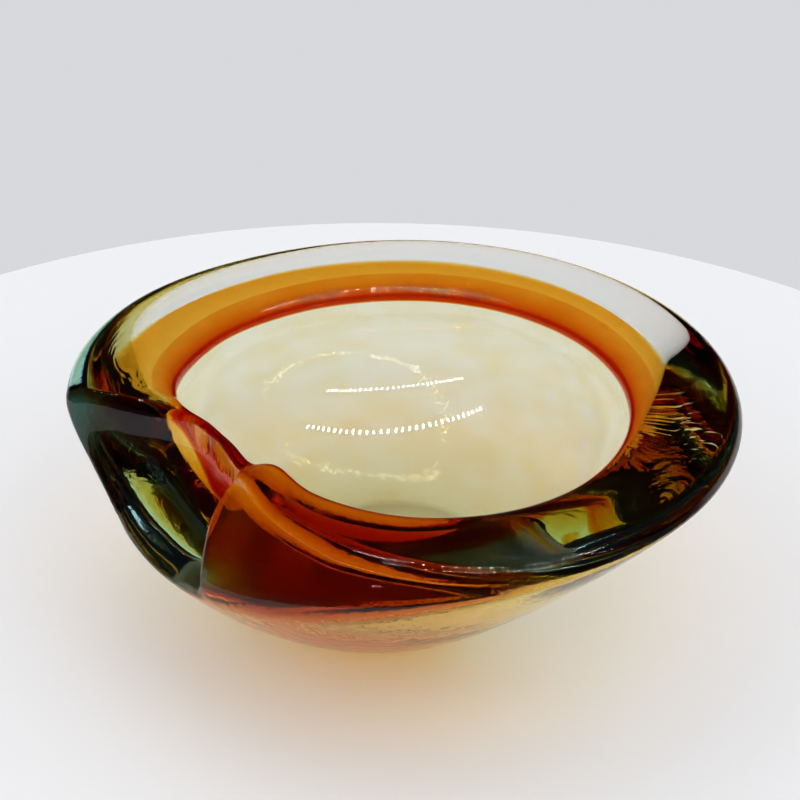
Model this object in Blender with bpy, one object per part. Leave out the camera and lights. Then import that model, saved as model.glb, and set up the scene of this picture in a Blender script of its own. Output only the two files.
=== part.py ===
"""Art glass bowl: three gathers of coloured glass, one inside the next, pressed and folded on one side.

Every wall is drawn in polar form about the middle of the mouth. A point is named by its azimuth, by how far
it lies along the wall from the middle of the floor (0) to the rim (1), and by how far it lies through the
wall from the hollow (0) to the outside (1). The gathers share those numbers, so they nest without touching.
"""

import bmesh
import bpy
import numpy as np

MM = 0.001

# Driving dimensions.
RIM_HEIGHT = 56 * MM
FOOT_RADIUS = 27 * MM
FLOOR_THICKNESS = 13 * MM
BELLY_RADIUS = 80 * MM
BELLY_HEIGHT = 52 * MM
BELLY_FULLNESS = 1.25
BELLY_SWING = 0.2
BELLY_FULLEST_AZIMUTH = 165
CORNER_REACH = 4 * MM
CORNER_AZIMUTH = 150
CORNER_SPREAD = 27
CORNER_FOOT = 20 * MM
HOLLOW_RADIUS = 52 * MM
MOUTH_OFFSET = 3 * MM
OUTER_ROUNDING = 4 * MM
LIP_WIDTH = 11 * MM
LIP_DROP = 4.2 * MM
ROUNDING_SHARE = 0.42
EDGE_INSET = 1 * MM

# The rim seen from above: (azimuth in degrees, radius in mm) of its outer and its inner edge.
OUTER_EDGE = (
    (0, 80), (30, 79.5), (60, 81), (90, 81), (130, 84), (152, 87), (168, 89), (176, 88.5),
    (180, 82), (184, 70), (189, 59), (197, 51.5), (208, 49.5), (223, 50), (237, 53), (250, 57),
    (276, 67), (303, 77), (330, 81),
)
INNER_EDGE = (
    (10, 53.5), (35, 53.5), (60, 53.5), (92, 53.5), (123, 54.5), (148, 56), (172, 55.5), (186, 53),
    (200, 47.5), (215, 46), (230, 46), (250, 49), (275, 52), (320, 53.5),
)

# The fold: the pressed face runs from the corner to the crease, and the nose rises beyond it.
PRESS_START = 172
PRESS_END = 184
CREASE_AZIMUTH = 222
CREASE_LEAN = 0.3 / MM
CREASE_WIDTH = 3.6
PRESS_FLARE = 0.06 / MM
PRESS_FLARE_START = 6 * MM
NOSE_ROLL = 11 * MM
NOSE_ROLL_DEPTH = 3.5 * MM
NOSE_SLOPE = 0.45
FOLD_BLEND = 6 * MM
# How far the rim rises or dips: (azimuth, spread in degrees, height).
RIM_LIFTS = ((174, 12, 1.5 * MM), (219, 6, -1.5 * MM), (231, 7, 2.0 * MM))

# Gathers: the lining is even. The amber is a film at the back, heavy towards the nose (azimuth in degrees,
# thickness in mm), and broadens into a collar at the rim. Both are also held to a share of the wall.
LINING_THICKNESS = 1.6 * MM
LINING_SHARE = 0.2
FILM_THICKNESSES = (
    (0, 2), (15, 1.2), (90, 1.2), (165, 1.2), (180, 2), (205, 6), (250, 9), (300, 9), (335, 5),
)
COLLAR_SHARE = 0.42
COLLAR_START = 0.88
AMBER_LIMIT = 0.66
GAP = 0.5 * MM

# Mesh resolution.
AZIMUTH_STEPS = 84
WALL_STEPS = 12
TOP_STEPS = 5
CROWDING_SAMPLES = 3601
CROWDED = ((183, 9, 2.0), (200, 15, 0.6), (226, 8, 3.0))
FOOT_SHARE = 0.27
OUTER_SPACING = 1.3
HOLLOW_BLEND = 3


def smooth_step(low, high, value):
    t = np.clip((value - low) / (high - low), 0, 1)
    return t * t * (3 - 2 * t)


def smooth_min(a, b, blend):
    h = np.clip(0.5 + 0.5 * (b - a) / blend, 0, 1)
    return b * (1 - h) + a * h - blend * h * (1 - h)


def closed_curve(points, azimuth):
    """Radius at each azimuth, on a smooth closed curve through the points that never overshoots them."""
    at = np.array([p[0] for p in points], float)
    radius = np.array([p[1] for p in points], float) * MM
    at = np.concatenate([at - 360, at, at + 360])
    radius = np.tile(radius, 3)
    step = np.diff(at)
    slope = np.diff(radius) / step
    rising = slope[:-1] * slope[1:] > 0
    total = np.where(rising, slope[:-1] + slope[1:], 1)
    tangent = np.zeros(len(at))
    tangent[1:-1] = np.where(rising, 2 * slope[:-1] * slope[1:] / total, 0)
    i = np.clip(np.searchsorted(at, azimuth, side="right") - 1, 0, len(at) - 2)
    t = (azimuth - at[i]) / step[i]
    start = (1 + 2 * t) * (1 - t) ** 2 * radius[i] + t * (1 - t) ** 2 * step[i] * tangent[i]
    end = t * t * (3 - 2 * t) * radius[i + 1] + t * t * (t - 1) * step[i] * tangent[i + 1]
    return start + end


def rim_height(azimuth):
    height = RIM_HEIGHT + 0 * azimuth
    for centre, spread, lift in RIM_LIFTS:
        height = height + lift * np.exp(-(((azimuth - centre) / spread) ** 2))
    return height


def belly_radius(azimuth, z):
    """The round outside wall, before it is pressed: full on the left and leaner on the right."""
    power = BELLY_FULLNESS + BELLY_SWING * np.cos(np.radians(azimuth - BELLY_FULLEST_AZIMUTH))
    t = np.clip(z / BELLY_HEIGHT, 0, 1)
    corner = CORNER_REACH * np.exp(-(((azimuth - CORNER_AZIMUTH) / CORNER_SPREAD) ** 2))
    widest = BELLY_RADIUS + corner * smooth_step(CORNER_FOOT, BELLY_HEIGHT, z)
    return FOOT_RADIUS + (widest - FOOT_RADIUS) * (1 - (1 - t) ** power) ** (1 / power)


def outside_radius(azimuth, z):
    """The outside wall with the pressed face, the crease and the nose."""
    depth = np.maximum(rim_height(azimuth) - z, 0)
    pressed = PRESS_FLARE * np.maximum(depth - PRESS_FLARE_START, 0) ** 2
    rolled = NOSE_ROLL * (1 - np.exp(-depth / NOSE_ROLL_DEPTH)) + NOSE_SLOPE * depth
    crease = CREASE_AZIMUTH + CREASE_LEAN * depth
    before = 1 - smooth_step(PRESS_START, PRESS_END, azimuth)
    beyond = smooth_step(crease - CREASE_WIDTH / 2, crease + CREASE_WIDTH / 2, azimuth)
    flare = pressed + (rolled - pressed) * np.maximum(before, beyond)
    edge = closed_curve(OUTER_EDGE, azimuth) - EDGE_INSET
    return smooth_min(belly_radius(azimuth, z), edge + flare, FOLD_BLEND)


def rim_roundings(azimuth):
    """Width and drop of the lip's slope into the hollow, and the rounding on the outside."""
    width = closed_curve(OUTER_EDGE, azimuth) - closed_curve(INNER_EDGE, azimuth)
    lip = np.minimum(LIP_WIDTH, ROUNDING_SHARE * width)
    outer = np.minimum(OUTER_ROUNDING, ROUNDING_SHARE * width)
    return lip, LIP_DROP * lip / LIP_WIDTH, outer


def hollow_point(azimuth, along):
    """Radius and height on the surface of the hollow."""
    _, lip_drop, _ = rim_roundings(azimuth)
    turn = along * np.pi / 2
    share = np.sin(turn) ** HOLLOW_BLEND
    mouth = HOLLOW_RADIUS * (1 - share) + closed_curve(INNER_EDGE, azimuth) * share
    depth = rim_height(azimuth) - lip_drop - FLOOR_THICKNESS
    return mouth * np.sin(turn), FLOOR_THICKNESS + depth * (1 - np.cos(turn))


def outside_point(azimuth, along):
    """Radius and height on the outside: the flat foot first, then the wall."""
    _, _, outer_rounding = rim_roundings(azimuth)
    climb = np.clip((along - FOOT_SHARE) / (1 - FOOT_SHARE), 0, 1)
    z = (rim_height(azimuth) - outer_rounding) * climb**OUTER_SPACING
    on_foot = along < FOOT_SHARE
    radius = np.where(on_foot, FOOT_RADIUS * along / FOOT_SHARE, outside_radius(azimuth, z))
    return radius, z


def wall_point(azimuth, along, through):
    inner_r, inner_z = hollow_point(azimuth, along)
    outer_r, outer_z = outside_point(azimuth, along)
    return inner_r + (outer_r - inner_r) * through, inner_z + (outer_z - inner_z) * through


def wall_thickness(azimuth, along):
    inner_r, inner_z = hollow_point(azimuth, along)
    outer_r, outer_z = outside_point(azimuth, along)
    return np.hypot(outer_r - inner_r, outer_z - inner_z)


def rim_top_point(azimuth, across):
    """Radius and height on the rounded top of the rim, across it from the hollow (0) to the outside (1)."""
    lip, lip_drop, outer_rounding = rim_roundings(azimuth)
    inner_r, _ = hollow_point(azimuth, 1.0)
    outer_r, _ = outside_point(azimuth, 1.0)
    width = outer_r - inner_r
    x = across * width
    inner_turn = np.clip((lip - x) / lip, 0, 1)
    outer_turn = np.clip((x - (width - outer_rounding)) / outer_rounding, 0, 1)
    inner_drop = lip_drop * (1 - np.sqrt(1 - inner_turn**2))
    outer_drop = outer_rounding * (1 - np.sqrt(1 - outer_turn**2))
    return inner_r + x, rim_height(azimuth) - inner_drop - outer_drop


def lining_depth(azimuth, along):
    """How far through the wall the lining ends."""
    thickness = wall_thickness(azimuth, along)
    return np.minimum(LINING_THICKNESS / thickness, LINING_SHARE)


def amber_depth(azimuth, along):
    """How far through the wall the amber ends."""
    film = closed_curve(FILM_THICKNESSES, azimuth) / wall_thickness(azimuth, along)
    collar = COLLAR_SHARE * smooth_step(COLLAR_START, 1, along)
    return np.minimum(lining_depth(azimuth, along) + np.maximum(film, collar), AMBER_LIMIT)


def gap_share(azimuth, along):
    return GAP / wall_thickness(azimuth, along)


def azimuths():
    """Azimuths round the bowl, closer together at the corner and at the crease."""
    fine = np.linspace(0, 360, CROWDING_SAMPLES)
    crowding = 1 + 0 * fine
    for centre, spread, extra in CROWDED:
        crowding = crowding + extra * np.exp(-(((fine - centre) / spread) ** 2))
    running = np.concatenate([[0], np.cumsum((crowding[1:] + crowding[:-1]) / 2)])
    return np.interp(np.arange(AZIMUTH_STEPS) / AZIMUTH_STEPS, running / running[-1], fine)


def shell_rows(inner_depth, outer_depth):
    """Rows of (radius, height) round one gather: up its inner face, over the rim and down its outer face."""
    azimuth = azimuths()
    along = np.linspace(0, 1, WALL_STEPS + 1)
    inner = [wall_point(azimuth, u, inner_depth(azimuth, u)) for u in along]
    outer = [wall_point(azimuth, u, outer_depth(azimuth, u)) for u in along[::-1]]
    spread = 0.5 - 0.5 * np.cos(np.linspace(0, np.pi, TOP_STEPS + 1))
    first = inner_depth(azimuth, 1.0)
    last = outer_depth(azimuth, 1.0)
    top = [rim_top_point(azimuth, first + (last - first) * s) for s in spread]
    if np.all(first == 0):
        top = top[1:]
    if np.all(last == 1):
        top = top[:-1]
    return azimuth, inner + top + outer


def add_gather(name, inner_depth, outer_depth, material):
    """One gather of glass as a closed body. Every gather splits its faces along the same diagonal."""
    azimuth, rows = shell_rows(inner_depth, outer_depth)
    turn = np.radians(azimuth)
    mesh = bmesh.new()
    rings = []
    for radius, height in rows[1:-1]:
        x = MOUTH_OFFSET * height / RIM_HEIGHT + radius * np.cos(turn)
        y = radius * np.sin(turn)
        rings.append([mesh.verts.new(point) for point in zip(x, y, height + 0 * x)])
    ends = []
    for radius, height in (rows[0], rows[-1]):
        middle = float(np.mean(height))
        ends.append(mesh.verts.new((MOUTH_OFFSET * middle / RIM_HEIGHT, 0, middle)))
    count = len(azimuth)
    for step, (lower, upper) in enumerate(zip(rings, rings[1:])):
        for i in range(count):
            j = (i + 1) % count
            if step < WALL_STEPS:
                mesh.faces.new((lower[i], lower[j], upper[j]))
                mesh.faces.new((lower[i], upper[j], upper[i]))
            else:
                mesh.faces.new((lower[i], lower[j], upper[i]))
                mesh.faces.new((lower[j], upper[j], upper[i]))
    for end, ring in ((ends[0], rings[0]), (ends[1], rings[-1])):
        for i in range(count):
            mesh.faces.new((end, ring[i], ring[(i + 1) % count]))
    bmesh.ops.recalc_face_normals(mesh, faces=mesh.faces)
    for face in mesh.faces:
        face.smooth = True
    data = bpy.data.meshes.new(name)
    mesh.to_mesh(data)
    mesh.free()
    data.materials.append(material)
    body = bpy.data.objects.new(name, data)
    bpy.context.scene.collection.objects.link(body)
    return body


def glass(name, colour, alpha):
    """A clear coloured glass."""
    material = bpy.data.materials.new(name)
    material.use_nodes = True
    shader = material.node_tree.nodes["Principled BSDF"]
    shader.inputs["Base Color"].default_value = (*colour, 1)
    shader.inputs["Roughness"].default_value = 0.03
    shader.inputs["Metallic"].default_value = 0
    shader.inputs["IOR"].default_value = 1.5
    shader.inputs["Transmission Weight"].default_value = 1
    shader.inputs["Alpha"].default_value = alpha
    return material


def make_inner_lining():
    def start(azimuth, along):
        return 0 * azimuth

    add_gather("inner_lining", start, lining_depth, glass("straw_glass", (0.93, 0.87, 0.66), 0.4))


def make_amber_layer():
    def start(azimuth, along):
        return lining_depth(azimuth, along) + gap_share(azimuth, along)

    add_gather("amber_layer", start, amber_depth, glass("amber_glass", (0.9, 0.36, 0.03), 0.7))


def make_casing():
    def start(azimuth, along):
        return amber_depth(azimuth, along) + gap_share(azimuth, along)

    def end(azimuth, along):
        return 1 + 0 * azimuth

    add_gather("casing", start, end, glass("aqua_casing_glass", (0.62, 0.85, 0.88), 0.45))


def main():
    for old in list(bpy.data.objects):
        bpy.data.objects.remove(old)
    make_inner_lining()
    make_amber_layer()
    make_casing()


main()
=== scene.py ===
"""Looks of the art glass bowl: one clear body with the amber and straw gathers as colour inside it.

The shape repeats the design of the CAD model with a finer mesh. All lengths are in metres.
"""

import math

import bmesh
import bpy
import numpy as np
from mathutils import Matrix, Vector


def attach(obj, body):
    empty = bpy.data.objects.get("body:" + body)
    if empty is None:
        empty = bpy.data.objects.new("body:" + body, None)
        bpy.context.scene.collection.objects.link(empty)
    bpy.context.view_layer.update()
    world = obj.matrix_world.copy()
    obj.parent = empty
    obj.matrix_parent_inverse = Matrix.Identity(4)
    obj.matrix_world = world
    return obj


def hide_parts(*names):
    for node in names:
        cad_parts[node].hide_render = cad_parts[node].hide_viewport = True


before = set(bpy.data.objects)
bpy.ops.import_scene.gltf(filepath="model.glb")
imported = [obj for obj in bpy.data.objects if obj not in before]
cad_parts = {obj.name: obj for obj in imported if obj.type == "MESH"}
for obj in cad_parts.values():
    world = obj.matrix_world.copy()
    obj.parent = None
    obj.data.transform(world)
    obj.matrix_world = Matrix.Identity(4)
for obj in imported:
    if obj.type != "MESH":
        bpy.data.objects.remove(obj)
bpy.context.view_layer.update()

MM = 0.001

# The design, as the CAD model has it.
RIM_HEIGHT = 56 * MM
FOOT_RADIUS = 27 * MM
FLOOR_THICKNESS = 13 * MM
BELLY_RADIUS = 80 * MM
BELLY_HEIGHT = 52 * MM
BELLY_FULLNESS = 1.25
BELLY_SWING = 0.2
BELLY_FULLEST_AZIMUTH = 165
CORNER_REACH = 4 * MM
CORNER_AZIMUTH = 150
CORNER_SPREAD = 27
CORNER_FOOT = 20 * MM
HOLLOW_RADIUS = 52 * MM
MOUTH_OFFSET = 3 * MM
OUTER_ROUNDING = 4 * MM
LIP_WIDTH = 11 * MM
LIP_DROP = 4.2 * MM
ROUNDING_SHARE = 0.42
EDGE_INSET = 1 * MM
OUTER_EDGE = (
    (0, 80), (30, 79.5), (60, 81), (90, 81), (130, 84), (152, 87), (168, 89), (176, 88.5),
    (180, 82), (184, 70), (189, 59), (197, 51.5), (208, 49.5), (223, 50), (237, 53), (250, 57),
    (276, 67), (303, 77), (330, 81),
)
INNER_EDGE = (
    (10, 53.5), (35, 53.5), (60, 53.5), (92, 53.5), (123, 54.5), (148, 56), (172, 55.5), (186, 53),
    (200, 47.5), (215, 46), (230, 46), (250, 49), (275, 52), (320, 53.5),
)
PRESS_START = 172
PRESS_END = 184
CREASE_AZIMUTH = 222
CREASE_LEAN = 0.3 / MM
CREASE_WIDTH = 3.6
PRESS_FLARE = 0.06 / MM
PRESS_FLARE_START = 6 * MM
NOSE_ROLL = 11 * MM
NOSE_ROLL_DEPTH = 3.5 * MM
NOSE_SLOPE = 0.45
FOLD_BLEND = 6 * MM
RIM_LIFTS = ((174, 12, 1.5 * MM), (219, 6, -1.5 * MM), (231, 7, 2.0 * MM))
FOOT_SHARE = 0.27
OUTER_SPACING = 1.3
HOLLOW_BLEND = 3

# The gathers. Tables give (azimuth in degrees, width in mm).
LINING_THICKNESS = 1.6 * MM
LINING_SHARE = 0.2
LINING_TAPER = 0.75
LINING_TAPER_START = 0.85
FILM_THICKNESSES = (
    (0, 0.9), (90, 0.9), (165, 0.9), (180, 2), (200, 5), (250, 7), (283, 6), (308, 2), (330, 1.0),
)
FILM_SHARE = 0.75
COLLAR_WIDTHS = ((0, 8.5), (45, 11), (90, 12.5), (180, 14), (270, 11), (315, 8))
COLLAR_SHARE = 0.75
COLLAR_FLARE = 4.5 * MM
COLLAR_PLUNGE = 4.8 * MM
COLLAR_STEPS = 8
COLLAR_HEEL = 0.022
LIP_RING_REACH = 6 * MM
LIP_RING_THICKNESS = 1.8 * MM
LIP_RING_STEPS = 14
LEAST_RING = 0.45 * MM
HEEL_STEPS = 6
NOTCH_HEEL = 0.3
NOTCH_AZIMUTH = 204
NOTCH_SPREAD = 12
RING_START = 0.05
RING_GROWTH = 1.5
SKIN = 0.12 * MM

# Surface detail.
RIPPLE_SCALE = 420
RIPPLE_SQUEEZE = 0.12
RIPPLE_HEIGHT = 0.2 * MM
STREAK_SCALE = 90
STREAK_SQUEEZE = 2.5
GROUND_ROUGHNESS = 0.25
GROUND_HEIGHTS = (0.8 * MM, 0.2 * MM)
WALL_FACING = (0.35, 0.0)
STREAK_RAMP = (0.35, 0.75)
AMBER_STREAK = (0.99, 0.93, 0.8)
LINING_STREAK = (1, 0.985, 0.94)
RING_STREAK = (0.97, 0.85, 0.7)

# Each glass: the colour its depth absorbs towards, and how strongly.
CASING_IOR = 1.5
GATHER_IOR = 1.0
CASING_GLASS = ((0.0, 0.74, 0.78), 4.5)
AMBER_GLASS = ((0.975, 0.745, 0.0), 300)
LINING_GLASS = ((0.97, 0.84, 0.35), 70)
RING_GLASS = ((0.93, 0.6, 0.0), 3500)

# The studio.
DARK_ROOM = (0.008, 0.008, 0.01, 1)
PALE_SHEET = (0.7, 0.7, 0.72, 1)
SOFT_LIGHT = (0.96, 0.97, 0.99, 1)
LIGHT_ABOVE = (-0.1, 0.7)
SHEET_BEHIND = (0.15, 0.4)
SHEET_LOW = (0.05, -0.15)
FRONT_SHARE = 0.12
BACKDROP = (0.585, 0.595, 0.615, 1)
TABLE_RADIUS = 207 * MM
TABLE_THICKNESS = 5 * MM
TABLE_OFFSET = (-6 * MM, -11 * MM)
TABLE_COLOUR = (0.93, 0.93, 0.94, 1)
LAMP_HEIGHT = 500 * MM
LAMP_ROWS = (-30 * MM, -275 * MM)
LAMP_ROW_SLOPE = 0.16
LAMP_COUNT = 30
LAMP_PITCH = 21 * MM
LAMP_WIDTH = 6 * MM
LAMP_LENGTH = 20 * MM
LAMP_STRENGTH = 60

# The camera.
CAMERA_ELEVATION = 31
CAMERA_DISTANCE = 600 * MM
CAMERA_LENS = 113.4
CAMERA_SENSOR = 36
AIM_FROM_RIM = (-1.5 * MM, 0, -2.8 * MM)

# Mesh resolution.
AZIMUTH_STEPS = 300
WALL_STEPS = 64
TOP_STEPS = 26
# Where rings of points crowd together: azimuth, spread in degrees, extra density.
CROWDED = ((183, 9, 2.5), (200, 15, 1.0), (226, 8, 4.0))


def smooth_step(low, high, value):
    """Rises smoothly from 0 to 1 as the value goes from low to high."""
    t = np.clip((value - low) / (high - low), 0, 1)
    return t * t * (3 - 2 * t)


def smooth_min(a, b, blend):
    """The lesser of two lengths, rounded over where they cross."""
    h = np.clip(0.5 + 0.5 * (b - a) / blend, 0, 1)
    return b * (1 - h) + a * h - blend * h * (1 - h)


def closed_curve(points, azimuth):
    """Radius at each azimuth, on a smooth closed curve through the points that never overshoots them."""
    at = np.array([p[0] for p in points], float)
    radius = np.array([p[1] for p in points], float) * MM
    at = np.concatenate([at - 360, at, at + 360])
    radius = np.tile(radius, 3)
    step = np.diff(at)
    slope = np.diff(radius) / step
    rising = slope[:-1] * slope[1:] > 0
    total = np.where(rising, slope[:-1] + slope[1:], 1)
    tangent = np.zeros(len(at))
    tangent[1:-1] = np.where(rising, 2 * slope[:-1] * slope[1:] / total, 0)
    i = np.clip(np.searchsorted(at, azimuth, side="right") - 1, 0, len(at) - 2)
    t = (azimuth - at[i]) / step[i]
    start = (1 + 2 * t) * (1 - t) ** 2 * radius[i] + t * (1 - t) ** 2 * step[i] * tangent[i]
    end = t * t * (3 - 2 * t) * radius[i + 1] + t * t * (t - 1) * step[i] * tangent[i + 1]
    return start + end


def rim_height(azimuth):
    height = RIM_HEIGHT + 0 * azimuth
    for centre, spread, lift in RIM_LIFTS:
        height = height + lift * np.exp(-(((azimuth - centre) / spread) ** 2))
    return height


def belly_radius(azimuth, z):
    """The round outside wall, before it is pressed: full on the left and leaner on the right."""
    power = BELLY_FULLNESS + BELLY_SWING * np.cos(np.radians(azimuth - BELLY_FULLEST_AZIMUTH))
    t = np.clip(z / BELLY_HEIGHT, 0, 1)
    corner = CORNER_REACH * np.exp(-(((azimuth - CORNER_AZIMUTH) / CORNER_SPREAD) ** 2))
    widest = BELLY_RADIUS + corner * smooth_step(CORNER_FOOT, BELLY_HEIGHT, z)
    return FOOT_RADIUS + (widest - FOOT_RADIUS) * (1 - (1 - t) ** power) ** (1 / power)


def outside_radius(azimuth, z):
    """The outside wall with the pressed face, the crease and the nose."""
    depth = np.maximum(rim_height(azimuth) - z, 0)
    pressed = PRESS_FLARE * np.maximum(depth - PRESS_FLARE_START, 0) ** 2
    rolled = NOSE_ROLL * (1 - np.exp(-depth / NOSE_ROLL_DEPTH)) + NOSE_SLOPE * depth
    crease = CREASE_AZIMUTH + CREASE_LEAN * depth
    before = 1 - smooth_step(PRESS_START, PRESS_END, azimuth)
    beyond = smooth_step(crease - CREASE_WIDTH / 2, crease + CREASE_WIDTH / 2, azimuth)
    flare = pressed + (rolled - pressed) * np.maximum(before, beyond)
    edge = closed_curve(OUTER_EDGE, azimuth) - EDGE_INSET
    return smooth_min(belly_radius(azimuth, z), edge + flare, FOLD_BLEND)


def rim_roundings(azimuth):
    """Width and drop of the lip's slope into the hollow, and the rounding on the outside."""
    width = closed_curve(OUTER_EDGE, azimuth) - closed_curve(INNER_EDGE, azimuth)
    lip = np.minimum(LIP_WIDTH, ROUNDING_SHARE * width)
    outer = np.minimum(OUTER_ROUNDING, ROUNDING_SHARE * width)
    return lip, LIP_DROP * lip / LIP_WIDTH, outer


def hollow_point(azimuth, along):
    """Radius and height on the surface of the hollow."""
    _, lip_drop, _ = rim_roundings(azimuth)
    turn = along * np.pi / 2
    share = np.sin(turn) ** HOLLOW_BLEND
    mouth = HOLLOW_RADIUS * (1 - share) + closed_curve(INNER_EDGE, azimuth) * share
    depth = rim_height(azimuth) - lip_drop - FLOOR_THICKNESS
    return mouth * np.sin(turn), FLOOR_THICKNESS + depth * (1 - np.cos(turn))


def outside_point(azimuth, along):
    """Radius and height on the outside: the flat foot first, then the wall."""
    _, _, outer_rounding = rim_roundings(azimuth)
    climb = np.clip((along - FOOT_SHARE) / (1 - FOOT_SHARE), 0, 1)
    z = (rim_height(azimuth) - outer_rounding) * climb**OUTER_SPACING
    on_foot = along < FOOT_SHARE
    radius = np.where(on_foot, FOOT_RADIUS * along / FOOT_SHARE, outside_radius(azimuth, z))
    return radius, z


def wall_point(azimuth, along, through):
    """Radius and height in the wall, from the hollow (0) through to the outside (1)."""
    inner_r, inner_z = hollow_point(azimuth, along)
    outer_r, outer_z = outside_point(azimuth, along)
    return inner_r + (outer_r - inner_r) * through, inner_z + (outer_z - inner_z) * through


def wall_thickness(azimuth, along):
    inner_r, inner_z = hollow_point(azimuth, along)
    outer_r, outer_z = outside_point(azimuth, along)
    return np.hypot(outer_r - inner_r, outer_z - inner_z)


def rim_top_point(azimuth, across):
    """Radius and height on the rounded top of the rim, from the hollow (0) to the outside (1)."""
    lip, lip_drop, outer_rounding = rim_roundings(azimuth)
    inner_r, _ = hollow_point(azimuth, 1.0)
    outer_r, _ = outside_point(azimuth, 1.0)
    width = outer_r - inner_r
    x = across * width
    inner_turn = np.clip((lip - x) / lip, 0, 1)
    outer_turn = np.clip((x - (width - outer_rounding)) / outer_rounding, 0, 1)
    inner_drop = lip_drop * (1 - np.sqrt(1 - inner_turn**2))
    outer_drop = outer_rounding * (1 - np.sqrt(1 - outer_turn**2))
    return inner_r + x, rim_height(azimuth) - inner_drop - outer_drop


def lining_depth(azimuth, along):
    """How far through the wall the lining ends: it thins out at the lip."""
    thinning = 1 - LINING_TAPER * smooth_step(LINING_TAPER_START, 1, along)
    share = np.minimum(LINING_THICKNESS / wall_thickness(azimuth, along), LINING_SHARE)
    return share * thinning


def film_depth(azimuth, along):
    """How far through the wall the amber ends under its collar: a film, but heavy towards the nose."""
    film = closed_curve(FILM_THICKNESSES, azimuth)
    share = np.minimum(film / wall_thickness(azimuth, along), FILM_SHARE)
    return lining_depth(azimuth, along) + share


def collar_rows(azimuth):
    """Rows round the amber's collar, from its outer edge on the rim down, and back up to the hollow."""
    inner_r, inner_z = hollow_point(azimuth, 1.0)
    outer_r, _ = outside_point(azimuth, 1.0)
    full = closed_curve(COLLAR_WIDTHS, azimuth)
    width = np.minimum(full, COLLAR_SHARE * (outer_r - inner_r))
    size = width / full
    top_r, top_z = rim_top_point(azimuth, width / (outer_r - inner_r))
    low_r = inner_r + (full + COLLAR_FLARE) * size
    low_z = inner_z - COLLAR_PLUNGE * size
    steps = np.linspace(0, 1, COLLAR_STEPS + 1)
    down = [(top_r + (low_r - top_r) * t, top_z - SKIN + (low_z - top_z) * t) for t in steps]
    along = 1 - COLLAR_HEEL
    heel_r, heel_z = wall_point(azimuth, along, film_depth(azimuth, along))
    back = [(low_r + (heel_r - low_r) * t, low_z + (heel_z - low_z) * t) for t in steps[1:]]
    return width / (outer_r - inner_r), down, back, along


def azimuths():
    """Azimuths round the bowl, closer together at the corner and at the crease."""
    fine = np.linspace(0, 360, 7201)
    crowding = 1 + 0 * fine
    for centre, spread, extra in CROWDED:
        crowding = crowding + extra * np.exp(-(((fine - centre) / spread) ** 2))
    running = np.concatenate([[0], np.cumsum((crowding[1:] + crowding[:-1]) / 2)])
    return np.interp(np.arange(AZIMUTH_STEPS) / AZIMUTH_STEPS, running / running[-1], fine)


def top_rows(azimuth, first, last, sunk):
    """Rows over the rim between two shares of its width, sunk below its top."""
    spread = 0.5 - 0.5 * np.cos(np.linspace(0, np.pi, TOP_STEPS + 1))
    rows = [rim_top_point(azimuth, first + (last - first) * s) for s in spread[1:-1]]
    return [(radius, height - sunk) for radius, height in rows]


def shell_rows(azimuth, inner_depth, outer_depth, sunk):
    """Rows of (radius, height) up the inner face, over the rim and down the outer face."""
    along = np.linspace(0, 1, WALL_STEPS + 1)
    inner = [wall_point(azimuth, u, inner_depth(azimuth, u)) for u in along]
    outer = [wall_point(azimuth, u, outer_depth(azimuth, u)) for u in along[::-1]]
    top = top_rows(azimuth, inner_depth(azimuth, 1.0), outer_depth(azimuth, 1.0), sunk)
    return inner + top + outer


def amber_rows(azimuth, inner_depth):
    """Rows up the amber's inner face, over the rim, round the collar and down the film's outer face."""
    along = np.linspace(0, 1, WALL_STEPS + 1)
    inner = [wall_point(azimuth, u, inner_depth(azimuth, u)) for u in along]
    last, down, back, heel = collar_rows(azimuth)
    top = top_rows(azimuth, inner_depth(azimuth, 1.0), last, SKIN)
    film = [wall_point(azimuth, u, film_depth(azimuth, u)) for u in along[along < heel][::-1]]
    return inner + top + down + back + film


def ring_rows(azimuth):
    """Rows round the struck ring: a band under the steep part of the lip, thinning out upwards."""
    inner_r, _ = hollow_point(azimuth, 1.0)
    outer_r, _ = outside_point(azimuth, 1.0)
    lip, _, _ = rim_roundings(azimuth)
    reach = LIP_RING_REACH * lip / LIP_WIDTH
    steps = np.linspace(0, 1, LIP_RING_STEPS + 1)
    slope = [rim_top_point(azimuth, reach * (1 - t) ** 2 / (outer_r - inner_r)) for t in steps]
    notch = NOTCH_HEEL * np.exp(-(((azimuth - NOTCH_AZIMUTH) / NOTCH_SPREAD) ** 2))
    heel = np.linspace(0, 1, HEEL_STEPS + 1)[1:]
    curve = slope + [hollow_point(azimuth, 1 - (COLLAR_HEEL + notch) * t) for t in heel]
    radius = np.array([r + 0 * azimuth for r, _ in curve])
    height = np.array([z + 0 * azimuth for _, z in curve])
    along_r = np.gradient(radius, axis=0)
    along_z = np.gradient(height, axis=0)
    length = np.hypot(along_r, along_z)
    into_r = -along_z / length
    into_z = along_r / length
    grown = np.minimum(np.arange(len(curve)) / LIP_RING_STEPS, 1)[:, None] ** RING_GROWTH
    thickness = np.maximum(LIP_RING_THICKNESS * lip / LIP_WIDTH, LEAST_RING)
    depth = 2 * SKIN + thickness * (RING_START + (1 - RING_START) * grown)
    near = list(zip(radius + into_r * SKIN, height + into_z * SKIN))
    far = list(zip(radius + into_r * depth, height + into_z * depth))
    return near + far[::-1]


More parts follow.
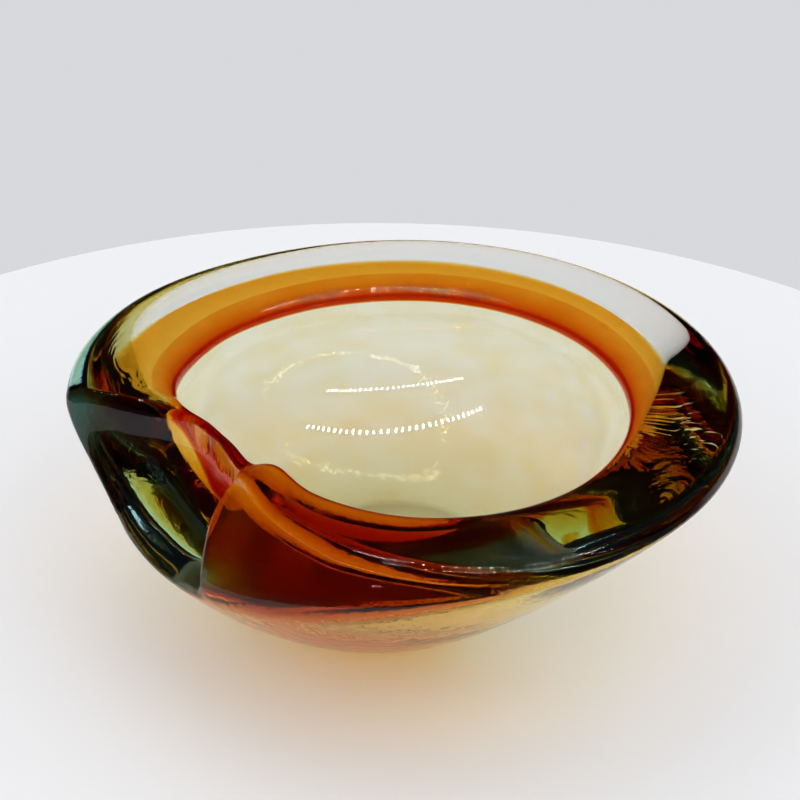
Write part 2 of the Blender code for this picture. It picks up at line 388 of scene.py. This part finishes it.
def ring_mesh(name, azimuth, rows):
    """A closed ring-shaped body from rows of rings, the last joined to the first."""
    turn = np.radians(azimuth)
    count = len(azimuth)
    points = []
    for radius, height in rows:
        x = MOUTH_OFFSET * height / RIM_HEIGHT + radius * np.cos(turn)
        points.append(np.stack([x, radius * np.sin(turn), height], axis=-1))
    faces = []
    for k in range(len(rows)):
        n = (k + 1) % len(rows)
        for i in range(count):
            j = (i + 1) % count
            faces.append((k * count + i, k * count + j, n * count + j, n * count + i))
    return add_piece(name, np.concatenate(points), faces)


def add_piece(name, points, faces):
    """A smooth closed mesh object, its faces turned outwards."""
    mesh = bpy.data.meshes.new(name)
    mesh.from_pydata(points.tolist(), [], faces)
    work = bmesh.new()
    work.from_mesh(mesh)
    bmesh.ops.recalc_face_normals(work, faces=work.faces)
    for face in work.faces:
        face.smooth = True
    work.to_mesh(mesh)
    work.free()
    piece = bpy.data.objects.new(name, mesh)
    bpy.context.scene.collection.objects.link(piece)
    return piece


def mesh_of(name, azimuth, rows):
    """A closed body from rows of rings, with a single point at each end."""
    turn = np.radians(azimuth)
    count = len(azimuth)
    points = []
    for radius, height in rows[1:-1]:
        height = height + 0 * turn
        x = MOUTH_OFFSET * height / RIM_HEIGHT + radius * np.cos(turn)
        points.append(np.stack([x, radius * np.sin(turn), height], axis=-1))
    points = np.concatenate(points)
    ends = []
    for _, height in (rows[0], rows[-1]):
        middle = float(np.mean(height))
        ends.append((MOUTH_OFFSET * middle / RIM_HEIGHT, 0, middle))
    points = np.concatenate([points, np.array(ends)])
    start, finish = len(points) - 2, len(points) - 1
    faces = []
    last = (len(rows) - 3) * count
    for i in range(count):
        j = (i + 1) % count
        faces.append((start, i, j))
        faces.append((finish, last + j, last + i))
        for k in range(0, last, count):
            faces.append((k + i, k + count + i, k + count + j, k + j))
    return add_piece(name, points, faces)


def glass(name, ior, absorbed, density):
    """Clear glass whose colour comes from what its depth absorbs."""
    material = bpy.data.materials.new(name)
    material.use_nodes = True
    nodes = material.node_tree.nodes
    shader = nodes["Principled BSDF"]
    shader.inputs["Base Color"].default_value = (1, 1, 1, 1)
    shader.inputs["Roughness"].default_value = 0
    shader.inputs["IOR"].default_value = ior
    shader.inputs["Transmission Weight"].default_value = 1
    volume = nodes.new("ShaderNodeVolumeAbsorption")
    volume.inputs["Color"].default_value = (*absorbed, 1)
    volume.inputs["Density"].default_value = density
    material.node_tree.links.new(volume.outputs["Volume"], nodes["Material Output"].inputs["Volume"])
    return material


def smooth_range(tree, value, low, high):
    """A node that rises smoothly from 0 to 1 as the value goes from low to high."""
    node = tree.nodes.new("ShaderNodeMapRange")
    node.interpolation_type = "SMOOTHSTEP"
    node.inputs["From Min"].default_value = low
    node.inputs["From Max"].default_value = high
    tree.links.new(value, node.inputs["Value"])
    return node


def mixed(tree, share, first, second):
    """A colour that goes from the first to the second. Each is a fixed colour or an output."""
    node = tree.nodes.new("ShaderNodeMixRGB")
    tree.links.new(share, node.inputs["Fac"])
    for name, colour in (("Color1", first), ("Color2", second)):
        if isinstance(colour, tuple):
            node.inputs[name].default_value = colour
        else:
            tree.links.new(colour, node.inputs[name])
    return node.outputs["Color"]


def stretched_noise(material, scale, squeeze):
    """Noise in the object's own space: drawn out along the height where squeeze is below 1."""
    nodes = material.node_tree.nodes
    links = material.node_tree.links
    coords = nodes.new("ShaderNodeTexCoord")
    mapping = nodes.new("ShaderNodeMapping")
    mapping.inputs["Scale"].default_value = (scale, scale, scale * squeeze)
    links.new(coords.outputs["Object"], mapping.inputs["Vector"])
    noise = nodes.new("ShaderNodeTexNoise")
    noise.inputs["Scale"].default_value = 1
    noise.inputs["Detail"].default_value = 2
    links.new(mapping.outputs["Vector"], noise.inputs["Vector"])
    return noise, coords


def add_ripples(material):
    """Tool ripples down the outside wall, and a ground foot."""
    nodes = material.node_tree.nodes
    links = material.node_tree.links
    shader = nodes["Principled BSDF"]
    noise, coords = stretched_noise(material, RIPPLE_SCALE, RIPPLE_SQUEEZE)
    split = nodes.new("ShaderNodeSeparateXYZ")
    links.new(coords.outputs["Normal"], split.inputs["Vector"])
    wall = smooth_range(material.node_tree, split.outputs["Z"], *WALL_FACING)
    height = nodes.new("ShaderNodeMath")
    height.operation = "MULTIPLY"
    links.new(noise.outputs["Fac"], height.inputs[0])
    links.new(wall.outputs["Result"], height.inputs[1])
    bump = nodes.new("ShaderNodeBump")
    bump.inputs["Strength"].default_value = 1
    bump.inputs["Distance"].default_value = RIPPLE_HEIGHT
    links.new(height.outputs["Value"], bump.inputs["Height"])
    links.new(bump.outputs["Normal"], shader.inputs["Normal"])
    place = nodes.new("ShaderNodeSeparateXYZ")
    links.new(coords.outputs["Object"], place.inputs["Vector"])
    foot = nodes.new("ShaderNodeMapRange")
    foot.inputs["From Min"].default_value = GROUND_HEIGHTS[0]
    foot.inputs["From Max"].default_value = GROUND_HEIGHTS[1]
    foot.inputs["To Max"].default_value = GROUND_ROUGHNESS
    links.new(place.outputs["Z"], foot.inputs["Value"])
    links.new(foot.outputs["Result"], shader.inputs["Roughness"])


def add_streaks(material, deep):
    """Faint streaks of stronger colour, as the gather was drawn out."""
    nodes = material.node_tree.nodes
    links = material.node_tree.links
    noise, _ = stretched_noise(material, STREAK_SCALE, STREAK_SQUEEZE)
    ramp = nodes.new("ShaderNodeValToRGB")
    for element, position, colour in zip(ramp.color_ramp.elements, STREAK_RAMP, ((1, 1, 1), deep)):
        element.position = position
        element.color = (*colour, 1)
    links.new(noise.outputs["Fac"], ramp.inputs["Fac"])
    links.new(ramp.outputs["Color"], nodes["Principled BSDF"].inputs["Base Color"])


def make_bowl():
    """The clear body and the three bodies of colour inside it."""
    azimuth = azimuths()

    def hollow(azimuth, along):
        return 0 * azimuth

    def outside(azimuth, along):
        return 1 + 0 * azimuth

    def past_lining(azimuth, along):
        return lining_depth(azimuth, along) + SKIN / wall_thickness(azimuth, along)

    def under_skin(azimuth, along):
        return SKIN / wall_thickness(azimuth, along)

    casing = mesh_of("bowl_casing", azimuth, shell_rows(azimuth, hollow, outside, 0))
    casing.data.materials.append(glass("aqua_casing", CASING_IOR, *CASING_GLASS))
    amber = mesh_of("amber_gather", azimuth, amber_rows(azimuth, past_lining))
    amber.data.materials.append(glass("amber_gather", GATHER_IOR, *AMBER_GLASS))
    lining = mesh_of("straw_lining", azimuth, shell_rows(azimuth, under_skin, lining_depth, SKIN))
    lining.data.materials.append(glass("straw_lining", GATHER_IOR, *LINING_GLASS))
    ring = ring_mesh("struck_ring", azimuth, ring_rows(azimuth))
    ring.data.materials.append(glass("struck_ring", GATHER_IOR, *RING_GLASS))
    add_ripples(casing.active_material)
    add_streaks(amber.active_material, AMBER_STREAK)
    add_streaks(lining.active_material, LINING_STREAK)
    add_streaks(ring.active_material, RING_STREAK)
    for piece, node, slot in (
        (casing, "casing", "aqua_casing_glass"),
        (amber, "amber_layer", "amber_glass"),
        (lining, "inner_lining", "straw_glass"),
        (ring, "amber_layer", "amber_glass"),
    ):
        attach(piece, "root")
        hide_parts(node)


def make_stage():
    """A plain pale round table top under the bowl."""
    count = 128
    around = [2 * math.pi * i / count for i in range(count)]
    rim = [(TABLE_RADIUS * math.cos(a), TABLE_RADIUS * math.sin(a)) for a in around]
    points = [(x, y, z) for z in (-TABLE_THICKNESS, 0) for x, y in rim]
    faces = [tuple(range(count - 1, -1, -1)), tuple(range(count, 2 * count))]
    for i in range(count):
        j = (i + 1) % count
        faces.append((i, j, count + j, count + i))
    mesh = bpy.data.meshes.new("table")
    mesh.from_pydata(points, [], faces)
    table = bpy.data.objects.new("table", mesh)
    table.location = (*TABLE_OFFSET, -0.2 * MM)
    bpy.context.scene.collection.objects.link(table)
    material = bpy.data.materials.new("table")
    material.use_nodes = True
    shader = material.node_tree.nodes["Principled BSDF"]
    shader.inputs["Roughness"].default_value = 0.6
    shader.inputs["Base Color"].default_value = TABLE_COLOUR
    mesh.materials.append(material)


def make_world():
    """Soft pale studio light. The room is dark in the glass, but for the pale sheet behind the table."""
    world = bpy.data.worlds.new("studio")
    bpy.context.scene.world = world
    world.use_nodes = True
    nodes = world.node_tree.nodes
    links = world.node_tree.links
    coords = nodes.new("ShaderNodeTexCoord")
    split = nodes.new("ShaderNodeSeparateXYZ")
    links.new(coords.outputs["Generated"], split.inputs["Vector"])
    behind = smooth_range(world.node_tree, split.outputs["Y"], *SHEET_BEHIND)
    behind.inputs["To Min"].default_value = FRONT_SHARE
    low = smooth_range(world.node_tree, split.outputs["Z"], *SHEET_LOW)
    sheet = nodes.new("ShaderNodeMath")
    sheet.operation = "MULTIPLY"
    links.new(behind.outputs["Result"], sheet.inputs[0])
    links.new(low.outputs["Result"], sheet.inputs[1])
    in_glass = mixed(world.node_tree, sheet.outputs["Value"], DARK_ROOM, PALE_SHEET)
    above = smooth_range(world.node_tree, split.outputs["Z"], *LIGHT_ABOVE)
    overhead = mixed(world.node_tree, above.outputs["Result"], DARK_ROOM, SOFT_LIGHT)
    path = nodes.new("ShaderNodeLightPath")
    on_table = mixed(world.node_tree, path.outputs["Diffuse Depth"], in_glass, overhead)
    seen = mixed(world.node_tree, path.outputs["Is Camera Ray"], on_table, BACKDROP)
    links.new(seen, nodes["Background"].inputs["Color"])


def make_lamps():
    """Two rows of small lamps overhead, seen only in the glass."""
    material = bpy.data.materials.new("lamps")
    material.use_nodes = True
    shader = material.node_tree.nodes["Principled BSDF"]
    shader.inputs["Base Color"].default_value = (0, 0, 0, 1)
    shader.inputs["Emission Color"].default_value = (1, 0.98, 0.95, 1)
    shader.inputs["Emission Strength"].default_value = LAMP_STRENGTH
    points = []
    faces = []
    for middle in LAMP_ROWS:
        for i in range(LAMP_COUNT):
            x = (i - (LAMP_COUNT - 1) / 2) * LAMP_PITCH
            y = middle + LAMP_ROW_SLOPE * x
            for dx, dy in ((-1, -1), (1, -1), (1, 1), (-1, 1)):
                points.append((x + dx * LAMP_WIDTH / 2, y + dy * LAMP_LENGTH / 2, LAMP_HEIGHT))
            faces.append(tuple(range(len(points) - 4, len(points))))
    mesh = bpy.data.meshes.new("lamps")
    mesh.from_pydata(points, [], faces)
    mesh.materials.append(material)
    lamps = bpy.data.objects.new("lamps", mesh)
    lamps.visible_camera = False
    lamps.visible_diffuse = False
    bpy.context.scene.collection.objects.link(lamps)


def make_camera():
    """A long lens looking down into the bowl from the front."""
    elevation = math.radians(CAMERA_ELEVATION)
    rim_centre = Vector((MOUTH_OFFSET, 0, RIM_HEIGHT))
    outward = Vector((0, -math.cos(elevation), math.sin(elevation)))
    data = bpy.data.cameras.new("camera")
    camera = bpy.data.objects.new("camera", data)
    data.sensor_width = CAMERA_SENSOR
    data.lens = CAMERA_LENS
    camera.location = rim_centre + CAMERA_DISTANCE * outward
    aim = rim_centre + Vector(AIM_FROM_RIM)
    camera.rotation_euler = (aim - camera.location).to_track_quat("-Z", "Y").to_euler()
    bpy.context.scene.collection.objects.link(camera)
    bpy.context.scene.camera = camera


def set_light_paths():
    """Enough bounces for light to pass through the nested glass bodies."""
    scene = bpy.context.scene
    scene.cycles.max_bounces = 40
    scene.cycles.transmission_bounces = 40
    scene.cycles.glossy_bounces = 20
    scene.cycles.diffuse_bounces = 4
    scene.view_settings.view_transform = "Standard"
    scene.view_settings.look = "Medium High Contrast"


make_camera()
make_bowl()
make_stage()
make_world()
make_lamps()
set_light_paths()
